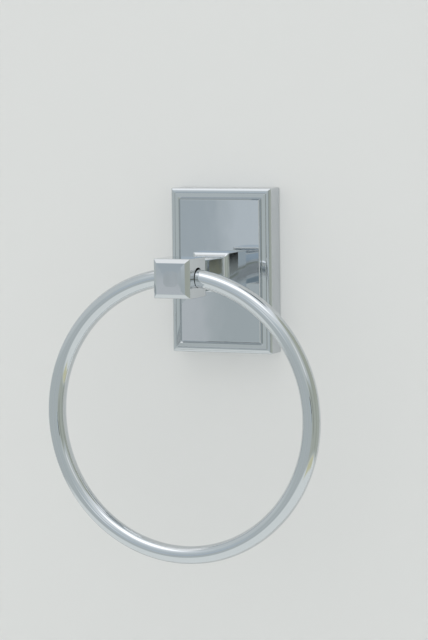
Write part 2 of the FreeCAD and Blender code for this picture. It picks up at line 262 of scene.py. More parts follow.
def settled(obj, name):
    """The object's evaluated mesh as a new plain object. The old object is removed."""
    graph = bpy.context.evaluated_depsgraph_get()
    mesh = bpy.data.meshes.new_from_object(obj.evaluated_get(graph))
    bpy.data.objects.remove(obj)
    mesh.name = name
    return new_object(name, mesh)


def rounded_path(corners, steps=3, share=0.6):
    """Points along a path of (out, depth, radius), with each inner corner rounded.

    A rounding takes up no more than the given share of either side that it joins.
    """
    points = [Vector(corners[0][:2])]
    for before, here, after in zip(corners, corners[1:], corners[2:]):
        corner, radius = Vector(here[:2]), here[2]
        back = Vector(before[:2]) - corner
        ahead = Vector(after[:2]) - corner
        if radius == 0.0:
            points.append(corner)
            continue
        half = back.angle(ahead) / 2
        reach = min(radius / math.tan(half), share * back.length, share * ahead.length)
        radius = reach * math.tan(half)
        middle = (back.normalized() + ahead.normalized()).normalized()
        centre = corner + middle * (radius / math.sin(half))
        first = corner + back.normalized() * reach - centre
        turn = first.angle_signed(corner + ahead.normalized() * reach - centre)
        for i in range(steps + 1):
            # angle_signed counts clockwise, and Rotation counts anticlockwise
            spoke = Matrix.Rotation(-turn * i / steps, 2) @ first
            points.append(centre + spoke)
    points.append(Vector(corners[-1][:2]))
    return points


def rounded_rectangle(half_width, half_height, radius, y, steps=4):
    """Points round a rectangle that lies parallel to the wall."""
    points = []
    for quarter, (sx, sz) in enumerate(((1, 1), (-1, 1), (-1, -1), (1, -1))):
        for i in range(steps + 1):
            turn = math.radians(90) * (quarter + i / steps)
            points.append(Vector((sx * (half_width - radius) + radius * math.cos(turn), y,
                                  sz * (half_height - radius) + radius * math.sin(turn))))
    return points


def lofted(name, rings):
    """A closed mesh through rings of points, capped at both ends."""
    shape = bmesh.new()
    rows = [[shape.verts.new(p) for p in ring] for ring in rings]
    count = len(rows[0])
    for low, high in zip(rows, rows[1:]):
        for i in range(count):
            j = (i + 1) % count
            shape.faces.new((low[i], low[j], high[j], high[i]))
    shape.faces.new(rows[0])
    shape.faces.new(rows[-1])
    bmesh.ops.recalc_face_normals(shape, faces=shape.faces)
    mesh = bpy.data.meshes.new(name)
    shape.to_mesh(mesh)
    shape.free()
    return new_object(name, mesh)


def box_piece(low, high):
    """A box between two corners, for joining to or cutting from a casting."""
    shape = bmesh.new()
    bmesh.ops.create_cube(shape, size=1.0)
    low, high = Vector(low), Vector(high)
    size = Matrix.Diagonal((*(high - low), 1.0))
    shape.transform(Matrix.Translation((low + high) / 2) @ size)
    mesh = bpy.data.meshes.new("tool_box")
    shape.to_mesh(mesh)
    shape.free()
    return new_object("tool_box", mesh)


def rod_piece(diameter, start, end, steps=96):
    """A round bar between two points, for joining to or cutting from a casting."""
    start, end = Vector(start), Vector(end)
    run = end - start
    shape = bmesh.new()
    bmesh.ops.create_cone(shape, cap_ends=True, segments=steps, radius1=diameter / 2,
                          radius2=diameter / 2, depth=run.length)
    turn = run.to_track_quat("Z", "Y").to_matrix().to_4x4()
    shape.transform(Matrix.Translation((start + end) / 2) @ turn)
    mesh = bpy.data.meshes.new("tool_rod")
    shape.to_mesh(mesh)
    shape.free()
    return new_object("tool_rod", mesh)


def combined(obj, tools, operation):
    """The object with tools joined to it or cut from it."""
    name = obj.name
    for tool in tools:
        change = obj.modifiers.new("Boolean", "BOOLEAN")
        change.operation = operation
        change.solver = "EXACT"
        change.object = tool
    done = settled(obj, name)
    for tool in tools:
        bpy.data.objects.remove(tool)
    return done


def finish_edges(obj, rounding, sharp_angle=50.0):
    """Rounds what is still sharp and keeps flat faces flat in the reflections."""
    for face in obj.data.polygons:
        face.use_smooth = True
    bevel = obj.modifiers.new("Edge rounding", "BEVEL")
    bevel.width = rounding
    bevel.segments = 2
    bevel.limit_method = "ANGLE"
    bevel.angle_limit = math.radians(sharp_angle)
    bevel.use_clamp_overlap = False
    bevel.miter_outer = "MITER_ARC"
    normals = obj.modifiers.new("Flat faces", "WEIGHTED_NORMAL")
    normals.mode = "FACE_AREA"
    normals.weight = 100
    normals.keep_sharp = True


def merged_copy(node, weld=0.001 * MM, flat_angle=0.5):
    """A copy of a packed solid's mesh with its loose triangles joined and flat faces made whole."""
    shape = bmesh.new()
    shape.from_mesh(frame["nodes"][node].data)
    bmesh.ops.remove_doubles(shape, verts=shape.verts, dist=weld)
    bmesh.ops.dissolve_limit(shape, angle_limit=math.radians(flat_angle), verts=shape.verts,
                             edges=shape.edges)
    mesh = bpy.data.meshes.new(node)
    shape.to_mesh(mesh)
    shape.free()
    return new_object(node + "_finished", mesh)


def take_place(obj, node, body, material):
    """Makes the piece stand for a packed solid, on its body and with its finish."""
    obj.data.materials.clear()
    obj.data.materials.append(material)
    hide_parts(node)
    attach(obj, body)


# Materials, with the real size of each pattern and the second colours of the clouded ones
WIPING_HAZE = 6 * MM
BUFFING_WAVE = 14 * MM
BUFFING_WAVE_HEIGHT = 0.013 * MM
DIE_GRAIN = 0.5 * MM
DIE_GRAIN_HEIGHT = 0.03 * MM
PASSIVATION_CLOUD = 7 * MM
STEEL_LINE = 0.6 * MM
STEEL_LINE_HEIGHT = 0.02 * MM
OXIDE_PATCH = 1.2 * MM
WALL_STIPPLE = 1.5 * MM
FLOOR_STIPPLE = 3 * MM
STIPPLE_HEIGHT = 0.05 * MM
PASSIVATION_BLUE = "#b4bdc6"
THIN_OXIDE = "#4a433d"


def chrome(name, settings, place, stretch):
    """Bright chrome plate: a mirror with buffing waves and faint wiping haze.

    The place function gives points on the metal in metres, and stretch draws the haze out.
    """
    material, tree, shader = new_material(name)
    shader.inputs["Base Color"].default_value = opaque(settings.chrome)
    shader.inputs["Metallic"].default_value = 1.0
    point = place(tree)
    # Wiping leaves haze a few millimetres wide that only shows where light grazes it
    drawn = add_node(tree, "ShaderNodeMapping", {"Vector": point, "Scale": stretch})
    haze = add_node(tree, "ShaderNodeTexNoise", {"Vector": drawn, "Scale": 1 / WIPING_HAZE,
                                                 "Detail": 4.0, "Roughness": 0.6})
    polish = add_node(tree, "ShaderNodeMapRange",
                      {"Value": haze.outputs["Fac"], "From Min": 0.35, "From Max": 0.75,
                       "To Min": settings.polish, "To Max": settings.polish + settings.haze})
    # A soft wheel leaves long shallow waves, so mirrored lines bend a little
    waves = add_node(tree, "ShaderNodeTexNoise", {"Vector": point, "Scale": 1 / BUFFING_WAVE,
                                                  "Detail": 1.0, "Roughness": 0.4})
    wavy = add_node(tree, "ShaderNodeBump", {"Height": waves.outputs["Fac"], "Strength": 1.0,
                                             "Distance": BUFFING_WAVE_HEIGHT})
    tree.links.new(polish.outputs["Result"], shader.inputs["Roughness"])
    tree.links.new(wavy.outputs["Normal"], shader.inputs["Normal"])
    return material, tree, shader, polish, wavy


def object_place(tree):
    """Points in the object's own coordinates."""
    return add_node(tree, "ShaderNodeTexCoord").outputs["Object"]


def rod_place(tree):
    """Points of the ring as if its rod were still straight."""
    return add_node(tree, "ShaderNodeAttribute", attribute_name="straight_rod").outputs["Vector"]


def chrome_on_casting(settings, plate):
    """Bright chrome plate on a zinc die casting, buffed before plating.

    Outside it is a mirror. Inside the hollow no wheel reaches, so it keeps the die's dull grain.
    """
    material, tree, shader, polish, wavy = chrome(
        CASTING_FINISH, settings, object_place, (1.0, 1.0, 0.35))
    point = object_place(tree)
    axes = add_node(tree, "ShaderNodeSeparateXYZ", {"Vector": point})
    limits = ((axes.outputs["X"], plate.width / 2 - plate.wall),
              (axes.outputs["Y"], plate.depth - plate.skin),
              (axes.outputs["Z"], plate.height / 2 - plate.wall))
    # The dull surface reaches just past the hollow's faces, so that they are wholly in it
    margin = 0.05 * MM
    inside = None
    for socket, limit in limits:
        size = add_node(tree, "ShaderNodeMath", {0: socket}, operation="ABSOLUTE")
        within = add_node(tree, "ShaderNodeMath", {0: size, 1: limit + margin},
                          operation="LESS_THAN")
        if inside is None:
            inside = within
        else:
            inside = add_node(tree, "ShaderNodeMath", {0: inside, 1: within},
                              operation="MULTIPLY")
    grain = add_node(tree, "ShaderNodeTexNoise", {"Vector": point, "Scale": 1 / DIE_GRAIN,
                                                  "Detail": 3.0})
    dull = add_node(tree, "ShaderNodeMix", {0: inside, 2: polish, 3: settings.as_cast})
    cast_height = add_node(tree, "ShaderNodeMath", {0: grain.outputs["Fac"], 1: inside},
                           operation="MULTIPLY")
    cast = add_node(tree, "ShaderNodeBump", {"Height": cast_height, "Strength": 0.6,
                                             "Distance": DIE_GRAIN_HEIGHT,
                                             "Normal": wavy.outputs["Normal"]})
    tree.links.new(dull.outputs[0], shader.inputs["Roughness"])
    tree.links.new(cast.outputs["Normal"], shader.inputs["Normal"])
    return material


def casting_material(settings, plate):
    """The castings' finish, made by whichever casting comes first."""
    return bpy.data.materials.get(CASTING_FINISH) or chrome_on_casting(settings, plate)


def chrome_on_rod(settings):
    """Bright chrome plate on drawn rod: a mirror with the faintest streaks along the rod."""
    return chrome("bright_chrome_on_drawn_rod", settings, rod_place, (1.0, 1.0, 0.12))[0]


def zinc_plate(name, settings, stretch):
    """Bright zinc plate with a clear blue passivation, over rolled or turned steel.

    It is a soft satin metal: the steel's rolling or turning lines show, with pale blue clouds.
    """
    material, tree, shader = new_material(name)
    point = object_place(tree)
    clouds = add_node(tree, "ShaderNodeTexNoise", {"Vector": point, "Detail": 3.0,
                                                   "Scale": 1 / PASSIVATION_CLOUD})
    tint = add_node(tree, "ShaderNodeMix", {0: clouds.outputs["Fac"], 6: opaque(settings.zinc),
                                            7: opaque(linear(PASSIVATION_BLUE))}, data_type="RGBA")
    drawn = add_node(tree, "ShaderNodeMapping", {"Vector": point, "Scale": stretch})
    lines = add_node(tree, "ShaderNodeTexNoise", {"Vector": drawn, "Scale": 1 / STEEL_LINE,
                                                  "Detail": 2.0})
    rough = add_node(tree, "ShaderNodeMapRange", {"Value": lines.outputs["Fac"], "To Min": 0.24,
                                                  "To Max": 0.42})
    bump = add_node(tree, "ShaderNodeBump", {"Height": lines.outputs["Fac"], "Strength": 0.5,
                                             "Distance": STEEL_LINE_HEIGHT})
    shader.inputs["Metallic"].default_value = 1.0
    tree.links.new(tint.outputs[2], shader.inputs["Base Color"])
    tree.links.new(rough.outputs["Result"], shader.inputs["Roughness"])
    tree.links.new(bump.outputs["Normal"], shader.inputs["Normal"])
    return material


def black_oxide(settings):
    """Black oxide on hardened steel, lightly oiled: near black, with brown where it is thin."""
    material, tree, shader = new_material("black_oxide_on_steel")
    point = object_place(tree)
    patches = add_node(tree, "ShaderNodeTexNoise", {"Vector": point, "Scale": 1 / OXIDE_PATCH,
                                                    "Detail": 3.0})
    tint = add_node(tree, "ShaderNodeMix", {0: patches.outputs["Fac"],
                                            6: opaque(settings.black_oxide),
                                            7: opaque(linear(THIN_OXIDE))}, data_type="RGBA")
    rough = add_node(tree, "ShaderNodeMapRange", {"Value": patches.outputs["Fac"], "To Min": 0.28,
                                                  "To Max": 0.45})
    shader.inputs["Metallic"].default_value = 1.0
    tree.links.new(tint.outputs[2], shader.inputs["Base Color"])
    tree.links.new(rough.outputs["Result"], shader.inputs["Roughness"])
    return material


# The ring

def ring_tree():
    """Geometry nodes for a rod bent to a ring in the plane of the wall, with a seam at the top."""
    tree = bpy.data.node_groups.new("Bent rod ring", "GeometryNodeTree")
    tree.is_modifier = True
    for name in ("Outside", "Rod", "Seam"):
        socket = tree.interface.new_socket(name, in_out="INPUT", socket_type="NodeSocketFloat")
        socket.subtype = "DISTANCE"
    for name in ("Steps Along", "Steps Around"):
        tree.interface.new_socket(name, in_out="INPUT", socket_type="NodeSocketInt")
    tree.interface.new_socket("Centre", in_out="INPUT", socket_type="NodeSocketVector")
    tree.interface.new_socket("Finish", in_out="INPUT", socket_type="NodeSocketMaterial")
    tree.interface.new_socket("Geometry", in_out="OUTPUT", socket_type="NodeSocketGeometry")
    given = add_node(tree, "NodeGroupInput").outputs
    # The rod's middle line runs all round but for the seam, which is at the top
    width = add_node(tree, "ShaderNodeMath", {0: given["Outside"], 1: given["Rod"]},
                     operation="SUBTRACT")
    radius = add_node(tree, "ShaderNodeMath", {0: width, 1: 0.5}, operation="MULTIPLY")
    gap = add_node(tree, "ShaderNodeMath", {0: given["Seam"], 1: radius}, operation="DIVIDE")
    start = add_node(tree, "ShaderNodeMath", {0: gap, 1: 0.5, 2: math.pi / 2},
                     operation="MULTIPLY_ADD")
    sweep = add_node(tree, "ShaderNodeMath", {0: 2 * math.pi, 1: gap}, operation="SUBTRACT")
    line = add_node(tree, "GeometryNodeCurveArc",
                    {"Resolution": given["Steps Along"], "Radius": radius, "Start Angle": start,
                     "Sweep Angle": sweep}, mode="RADIUS")
    thickness = add_node(tree, "ShaderNodeMath", {0: given["Rod"], 1: 0.5}, operation="MULTIPLY")
    section = add_node(tree, "GeometryNodeCurvePrimitiveCircle",
                       {"Resolution": given["Steps Around"], "Radius": thickness}, mode="RADIUS")
    # Both captured values together place a point as on the straight rod, for its streaks
    run = add_node(tree, "GeometryNodeSplineParameter").outputs["Length"]
    along = add_node(tree, "GeometryNodeCaptureAttribute", {"Geometry": line.outputs["Curve"]},
                     domain="POINT")
    along.capture_items.new("FLOAT", "Along")
    tree.links.new(run, along.inputs["Along"])
    around = add_node(tree, "GeometryNodeCaptureAttribute", {"Geometry": section.outputs["Curve"]},
                      domain="POINT")
    around.capture_items.new("VECTOR", "Around")
    position = add_node(tree, "GeometryNodeInputPosition").outputs["Position"]
    tree.links.new(position, around.inputs["Around"])
    swept = add_node(tree, "GeometryNodeCurveToMesh",
                     {"Curve": along.outputs["Geometry"], "Profile Curve": around.outputs["Geometry"],
                      "Fill Caps": True})
    across = add_node(tree, "ShaderNodeSeparateXYZ", {"Vector": around.outputs["Around"]})
    straight = add_node(tree, "ShaderNodeCombineXYZ", {"X": across.outputs["X"],
                                                       "Y": across.outputs["Y"],
                                                       "Z": along.outputs["Along"]})
    stored = add_node(tree, "GeometryNodeStoreNamedAttribute",
                      {"Geometry": swept.outputs["Mesh"], "Name": "straight_rod",
                       "Value": straight}, data_type="FLOAT_VECTOR", domain="POINT")
    stood = add_node(tree, "GeometryNodeTransform",
                     {"Geometry": stored.outputs["Geometry"], "Rotation": (math.pi / 2, 0.0, 0.0),
                      "Translation": given["Centre"]})
    # The rod is smooth, and the edges of its cut ends stay sharp
    edge = add_node(tree, "GeometryNodeInputMeshEdgeAngle").outputs["Unsigned Angle"]
    blunt = add_node(tree, "FunctionNodeCompare", {"A": edge, "B": math.radians(40)},
                     data_type="FLOAT", operation="LESS_THAN")
    smooth = add_node(tree, "GeometryNodeSetShadeSmooth",
                      {"Geometry": stood.outputs["Geometry"], "Shade Smooth": blunt},
                      domain="EDGE")
    real = add_node(tree, "GeometryNodeRealizeInstances", {"Geometry": smooth.outputs["Geometry"]})
    painted = add_node(tree, "GeometryNodeSetMaterial", {"Geometry": real.outputs["Geometry"],
                                                         "Material": given["Finish"]})
    add_node(tree, "NodeGroupOutput", {"Geometry": painted.outputs["Geometry"]})
    return tree


class TOWELRING_OT_ring(bpy.types.Operator):
    """Make the hanging ring from one bent rod"""
    bl_idname = "towelring.ring"
    bl_label = "Make Ring"

    def execute(self, context):
        sizes = context.scene.towel_ring_sizes
        material = chrome_on_rod(context.scene.towel_ring_finish)
        tree = ring_tree()
        carrier = new_object("ring_carrier", bpy.data.meshes.new("ring_carrier"))
        nodes = carrier.modifiers.new("Bent rod ring", "NODES")
        nodes.node_group = tree
        values = {
            "Outside": sizes.outside, "Rod": sizes.rod, "Seam": sizes.seam,
            "Steps Along": sizes.along, "Steps Around": sizes.around,
            "Centre": (RING_LOW + RING_HIGH) / 2, "Finish": material,
        }
        for item in tree.interface.items_tree:
            if item.name in values:
                nodes[item.identifier] = values[item.name]
        ring = settled(carrier, "ring_polished")
        take_place(ring, "ring", "hanging_ring", material)
        return {"FINISHED"}


# The castings

def plate_rings(sizes, edge):
    """The back plate's closed outline, from the panel out over the border and into the hollow."""
    chord = math.hypot(sizes.moulding_width, sizes.moulding_rise)
    chord_angle = math.atan2(sizes.moulding_rise, sizes.moulding_width)
    bend = chord / (2 * math.sin(chord_angle))
    top = sizes.edge_depth + sizes.moulding_rise
    panel = sizes.border + sizes.groove_width
    slope = sizes.edge_depth - sizes.wall
    # Each point has its inset from the plate's edge, its depth and its rounding
    outer = [
        (panel + edge, sizes.depth, 0.0),
        (panel, sizes.depth, edge / 2),
        (sizes.border + sizes.groove_width / 2, sizes.depth - sizes.groove_depth, edge / 4),
        (sizes.border, sizes.depth - sizes.border_drop, edge / 2),
        (sizes.moulding_width + sizes.quirk_width, top + sizes.moulding_step, edge / 2),
        (sizes.moulding_width + sizes.quirk_width / 2, top - sizes.quirk_depth, 0.0),
        (sizes.moulding_width, top, edge / 4),
    ]
    steps = 9
    for i in range(1, steps):
        turn = 2 * chord_angle * i / steps
        outer.append((sizes.moulding_width - bend * math.sin(turn),
                      top - bend + bend * math.cos(turn), 0.0))
    outer += [
        (0.0, sizes.edge_depth, 1.5 * edge),
        (0.0, 0.0, edge / 2),
        (sizes.wall, 0.0, edge / 2),
        (sizes.wall, slope, edge),
        (panel, sizes.depth - sizes.skin, edge),
        (panel + edge, sizes.depth - sizes.skin, 0.0),
    ]
    rings = []
    for inset, depth in rounded_path(outer):
        radius = max(sizes.corner - inset, edge / 2)
        rings.append(rounded_rectangle(sizes.width / 2 - inset, sizes.height / 2 - inset,
                                       radius, -depth))
    return rings


class TOWELRING_OT_back_plate(bpy.types.Operator):
    """Make the hollow back plate with its moulded border and grooved panel"""
    bl_idname = "towelring.back_plate"
    bl_label = "Make Back Plate"

    def execute(self, context):
        sizes = context.scene.towel_ring_plate
        post = context.scene.towel_ring_post
        finish = context.scene.towel_ring_finish
        plate = lofted("back_plate_polished", plate_rings(sizes, finish.casting_edge))
        inner_top = sizes.height / 2 - sizes.wall
        skin = sizes.depth - sizes.skin
        root = sizes.wall / 2
        half_lip, half_rib, half_boss = sizes.lip_width / 2, sizes.rib_height / 2, sizes.boss / 2
        boss_top = -inner_top + sizes.boss_height
        added = [
            box_piece((-half_lip, -sizes.lip_front, inner_top - sizes.lip_height),
                      (half_lip, -sizes.setback, inner_top + root)),
            box_piece((-half_boss, -sizes.thread_depth - half_boss, -inner_top - root),
                      (half_boss, -sizes.thread_depth + half_boss, boss_top)),
        ]
        for side in (-1, 1):
            low, high = sorted((side * sizes.rib_place,
                                side * (sizes.rib_place + sizes.rib_thickness)))
            added.append(box_piece((low, -skin - root, -half_rib), (high, -sizes.setback, half_rib)))
        plate = combined(plate, added, "UNION")
        peg = -post.peg_drop
        cut = [
            rod_piece(sizes.screw_hole, (0, -skin + root, 0), (0, -sizes.depth - root, 0),
                      steps=48),
            rod_piece(sizes.peg_hole, (0, -skin + root, peg), (0, -sizes.depth - root, peg),
                      steps=32),
            rod_piece(sizes.thread, (0, -sizes.thread_depth, -sizes.height / 2 - root),
                      (0, -sizes.thread_depth, boss_top + root), steps=48),
        ]
        plate = combined(plate, cut, "DIFFERENCE")
        finish_edges(plate, finish.casting_edge / 2)
        take_place(plate, "back_plate", "wall_mount",
                   casting_material(finish, sizes))
        return {"FINISHED"}


def post_rings(sizes, foot, edge):
    """The post's outline from its foot on the panel to the flat front of its head."""
    base, neck, head = sizes.base_width / 2, sizes.neck_width / 2, sizes.head_width / 2
    flare = base - neck
    flare_start = foot + sizes.base_length
    front = -POST_LOW.y
    bevel_start = front - sizes.bevel_rise
    head_back = bevel_start - sizes.head_length
    flat = head - sizes.bevel_width
    top = base - sizes.base_draft
    inner_edge = 1.5 * edge
    outline = [(base - edge, foot, 0.0), (base, foot, edge / 2), (top, flare_start, edge)]
    # The flare is the middle part of a quarter round, stretched to its full width and length
    steps = 12
    lean = sizes.flare_lean
    reach = math.cos(lean) - math.sin(lean)
    for i in range(1, steps + 1):
        turn = lean + (math.radians(90) - 2 * lean) * i / steps
        outline.append((top - (top - neck) * (math.sin(turn) - math.sin(lean)) / reach,
                        flare_start + flare * (math.cos(lean) - math.cos(turn)) / reach, 0.0))
    outline += [
        (neck, head_back, inner_edge),
        (head, head_back, sizes.back_radius),
        (head, bevel_start, sizes.front_edge),
        (flat, front - sizes.crown, inner_edge),
    ]
    # The polished front is flat in its middle and falls away to its rim
    soft = 10 * edge
    outline += [
        (0.75 * flat, front - 0.3 * sizes.crown, soft),
        (0.50 * flat, front, soft),
        (0.30 * flat, front, 0.0),
    ]
    rings = []
    for out, depth in rounded_path(outline, 5):
        radius = sizes.long_edge if depth < head_back - edge else edge
        if depth > bevel_start + edge:
            # Inside the bevel the outline grows rounder towards the middle
            radius = min(max(edge, 0.6 * (flat - out)), 0.8 * out)
        rings.append(rounded_rectangle(out, out, radius, -depth))
    return rings


class TOWELRING_OT_post(bpy.types.Operator):
    """Make the square post with its flared base, its head and the cross bore"""
    bl_idname = "towelring.post"
    bl_label = "Make Post"

    def execute(self, context):
        sizes = context.scene.towel_ring_post
        plate = context.scene.towel_ring_plate
        finish = context.scene.towel_ring_finish
        foot = plate.depth
        post = lofted("post_polished", post_rings(sizes, foot, finish.casting_edge))
        # How deep the peg is rooted in the post, and how far outside it the thread's tool starts
        spare = sizes.peg
        peg = rod_piece(sizes.peg, (0, -foot + sizes.peg_height, -sizes.peg_drop),
                        (0, -foot - spare, -sizes.peg_drop), steps=32)
        post = combined(post, [peg], "UNION")
        side = Vector((sizes.head_width, 0, 0))
        bore = rod_piece(sizes.bore, HINGE - side, HINGE + side)
        thread = rod_piece(sizes.thread, (0, -foot + spare, 0), (0, -foot - sizes.thread_length, 0),
                           steps=48)
        post = combined(post, [bore, thread], "DIFFERENCE")
        finish_edges(post, finish.casting_edge / 2)
        take_place(post, "post", "wall_mount", casting_material(finish, plate))
        return {"FINISHED"}


# The hidden fixings

class TOWELRING_OT_fixings(bpy.types.Operator):
    """Finish the wall bracket, the lock washer and the two screws"""
    bl_idname = "towelring.fixings"
    bl_label = "Finish Fixings"

    def execute(self, context):
        finish = context.scene.towel_ring_finish
        sheet = zinc_plate("bright_zinc_on_rolled_sheet", finish, (0.08, 1.0, 1.0))
        turned = zinc_plate("bright_zinc_on_steel_screw", finish, (1.0, 0.1, 1.0))
        black = black_oxide(finish)
        pieces = (
            ("wall_bracket", "zinc_plated_sheet", sheet, finish.sheet_edge),
            ("lock_washer", "zinc_plated_fastener", turned, finish.screw_edge),
            ("post_screw", "zinc_plated_fastener", turned, finish.screw_edge),
            ("set_screw", "blackened_steel", black, finish.screw_edge),
        )
        for node, slot, material, rounding in pieces:
            piece = merged_copy(node)
            finish_edges(piece, rounding)
            take_place(piece, node, "wall_mount", material)
        return {"FINISHED"}


# The stage

def paint(name, rgb, stipple_size):
    """Matt emulsion paint, rolled on: even, with a fine stipple.

    It shows from its front only, so that the part can be seen from behind and from below.
    """
    material, tree, shader = new_material(name)
    shader.inputs["Base Color"].default_value = opaque(rgb)
    shader.inputs["Roughness"].default_value = 0.85
    shader.inputs["Specular IOR Level"].default_value = 0.2
    stipple = add_node(tree, "ShaderNodeTexNoise", {"Vector": object_place(tree),
                                                    "Scale": 1 / stipple_size, "Detail": 3.0})
    bump = add_node(tree, "ShaderNodeBump", {"Height": stipple.outputs["Fac"], "Strength": 0.15,
                                             "Distance": STIPPLE_HEIGHT})
    tree.links.new(bump.outputs["Normal"], shader.inputs["Normal"])
    clear = add_node(tree, "ShaderNodeBsdfTransparent")
    behind = add_node(tree, "ShaderNodeNewGeometry").outputs["Backfacing"]
    sided = add_node(tree, "ShaderNodeMixShader", {0: behind, 1: shader, 2: clear})
    output = next(n for n in tree.nodes if n.bl_idname == "ShaderNodeOutputMaterial")
    tree.links.new(sided.outputs[0], output.inputs["Surface"])
    return material


def flat_mesh(name, corners, quads):
    """A flat stage piece from corner points and faces."""
    mesh = bpy.data.meshes.new(name)
    mesh.from_pydata(corners, [], quads)
    return new_object(name, mesh)


def wall_board(opening_x, opening_z, left, right, bottom, top, y):
    """The wall board: three by three faces, with the middle one left out behind the plate.

    The opening lets light into the plate's hollow.
    """
    xs = (-left, -opening_x, opening_x, right)
    zs = (bottom, -opening_z, opening_z, top)
    corners = [(x, y, z) for z in zs for x in xs]
    quads = []
    for row in range(3):
        for column in range(3):
            if row == 1 and column == 1:
                continue
            first = row * len(xs) + column
            above = first + len(xs)
            quads.append((first, first + 1, above + 1, above))
    return flat_mesh("stage_wall", corners, quads)


# What the polished metal mirrors: the room as soft-edged cards, each over those before it.
# Each has its azimuths, elevations and softness in degrees, and a colour. The small ones at
# azimuths from -30 to -19 show on the flat panel, and those from 14 to 30 on the post.
ROOM_CARDS = (
    ("left card", (-135, -48), (8, 78), 9.0, "#cbd0d1"),
    ("high left card", (-160, -50), (52, 84), 4.0, "#ffffff"),
    ("top card", (-180, 180), (76, 95), 3.0, "#eef2f5"),
    ("low right card", (30, 175), (-24, 12), 4.0, "#b4b9b0"),
    ("far right card", (76, 175), (4, 56), 5.0, "#b0b4a8"),
    ("high right card", (22, 76), (15, 46), 5.0, "#c9cdcb"),
    ("narrow grey card", (55, 61), (-22, 8), 1.5, "#aeb2a8"),
    ("tall grey card", (79, 96), (-22, 32), 3.0, "#a9aea4"),
    ("grey card", (41, 52), (-13, 9), 3.0, "#9aa099"),
    ("bright right card", (41, 52), (14, 33), 3.0, "#f2f5f6"),
    ("middle card", (16, 35), (4.5, 14), 1.5, "#c8cdcc"),
    ("front low glow", (-16, -4), (5, 14), 3.0, "#eef2f4"),
    ("front glow", (-2, 9), (23, 33), 3.0, "#f6f9fb"),
    ("front high glow", (15, 26), (31, 37), 2.5, "#f6f9fb"),
    ("right high glow", (31, 54), (34, 45), 3.0, "#e6eaec"),
    ("blue card", (-34, -14), (2.5, 9), 2.0, "#bdc9d4"),
    ("upper left tone", (-29, -24.1), (-4.0, 1), 0.2, "#b0b9be"),
    ("upper right tone", (-24.1, -20), (-4.0, 1), 0.2, "#c5ccd1"),
    ("lower left tone", (-29, -24.4), (-8, -4.0), 0.2, "#c4c8cb"),
    ("lower right tone", (-24.4, -19), (-8, -4.0), 0.2, "#b0b8ba"),
    ("small grey tone", (-25.45, -25.0), (-4.5, -3.93), 0.1, "#b0b6b8"),
    ("pale strip", (14, 22.6), (-7, -1), 0.5, "#c0cacf"),
    ("blue strip", (22.6, 24.05), (-7, -1), 0.1, "#8d9ca5"),
    ("pale blue strip", (22.6, 24.05), (-3.78, -1), 0.05, "#bccbd8"),
    ("olive strip", (24.05, 25.2), (-7, -1), 0.1, "#91917e"),
    ("grey flag", (25.0, 29.5), (-7, -3), 0.1, "#a3a8a5"),
    ("black flag", (24.6, 29.5), (-3.79, 2), 0.06, "#08090a"),
    ("small black flag", (24.0, 24.26), (-3.82, -3.0), 0.03, "#0c0e0f"),
    ("back light", (138, 172), (52, 74), 4.0, "#ffffff"),
    ("low warm strip", (42, 98), (-33, -25), 2.0, "#d2d0b2"),
    ("high dark flag", (84, 126), (64, 83), 3.0, "#5c6468"),
)
# The wide soft light, as azimuths, elevations and softness in degrees
SOFT_LIGHT = ((-44, 39), (46, 75), 7.0)
# The room behind the cards, from the floor to the ceiling, as elevations in degrees and colours
ROOM_HEIGHTS = (
    (-90, "#e4e8e7"), (-27, "#e4e8e7"), (-22, "#bbc1c1"), (5, "#bbc2c2"), (15, "#c2c9cb"),
    (24, "#cad2d6"), (33, "#d7dde1"), (42, "#e5eaef"), (52, "#f2f5f8"), (90, "#eef2f5"),
)
# How much lighter or darker than their card the streaks in the room are, at most
STREAKS = 0.1


